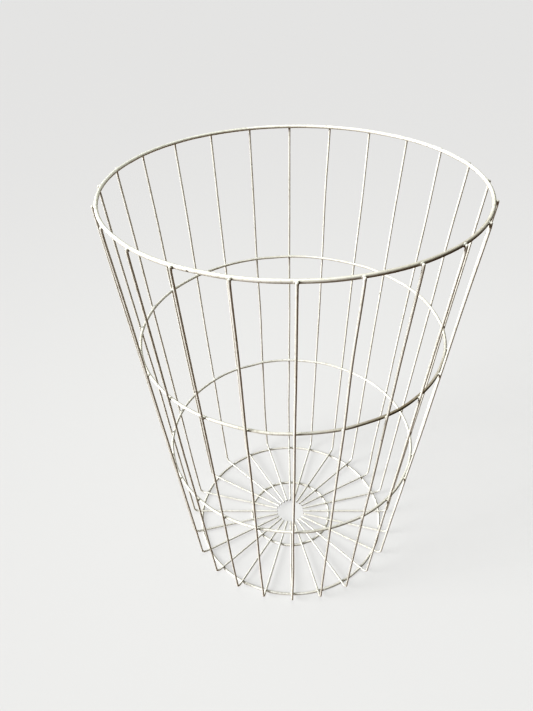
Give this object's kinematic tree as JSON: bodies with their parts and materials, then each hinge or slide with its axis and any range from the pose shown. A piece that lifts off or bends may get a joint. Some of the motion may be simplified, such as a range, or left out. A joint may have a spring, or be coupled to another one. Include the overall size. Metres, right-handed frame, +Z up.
{
  "type": "wire produce basket",
  "caption": "Tall tapered open-topped basket of welded wire: upright staves bent in to form a spoked base, with a rim, hoops and base rings.",
  "frame": {"origin": "on the basket's axis, on the surface it stands on", "axes": "+Z up along the basket's axis, -Y the front, +X to the right as seen from the front"},
  "size_m": [0.4572, 0.4572, 0.61],
  "materials": {
    "cream_enamel": "semi-gloss cream enamel, worn, with small chips and rust specks"
  },
  "bodies": {
    "root": {"rim": "cream_enamel", "upper_hoop": "cream_enamel", "lower_hoop": "cream_enamel", "base_outer_ring": "cream_enamel", "base_inner_ring": "cream_enamel", "stave_01": "cream_enamel", "stave_02": "cream_enamel", "stave_03": "cream_enamel", "stave_04": "cream_enamel", "stave_05": "cream_enamel", "stave_06": "cream_enamel", "stave_07": "cream_enamel", "stave_08": "cream_enamel", "stave_09": "cream_enamel", "stave_10": "cream_enamel", "stave_11": "cream_enamel", "stave_12": "cream_enamel", "stave_13": "cream_enamel", "stave_14": "cream_enamel", "stave_15": "cream_enamel", "stave_16": "cream_enamel", "stave_17": "cream_enamel", "stave_18": "cream_enamel", "stave_19": "cream_enamel", "stave_20": "cream_enamel", "stave_21": "cream_enamel", "stave_22": "cream_enamel", "stave_23": "cream_enamel", "stave_24": "cream_enamel"}
  },
  "joints": []
}
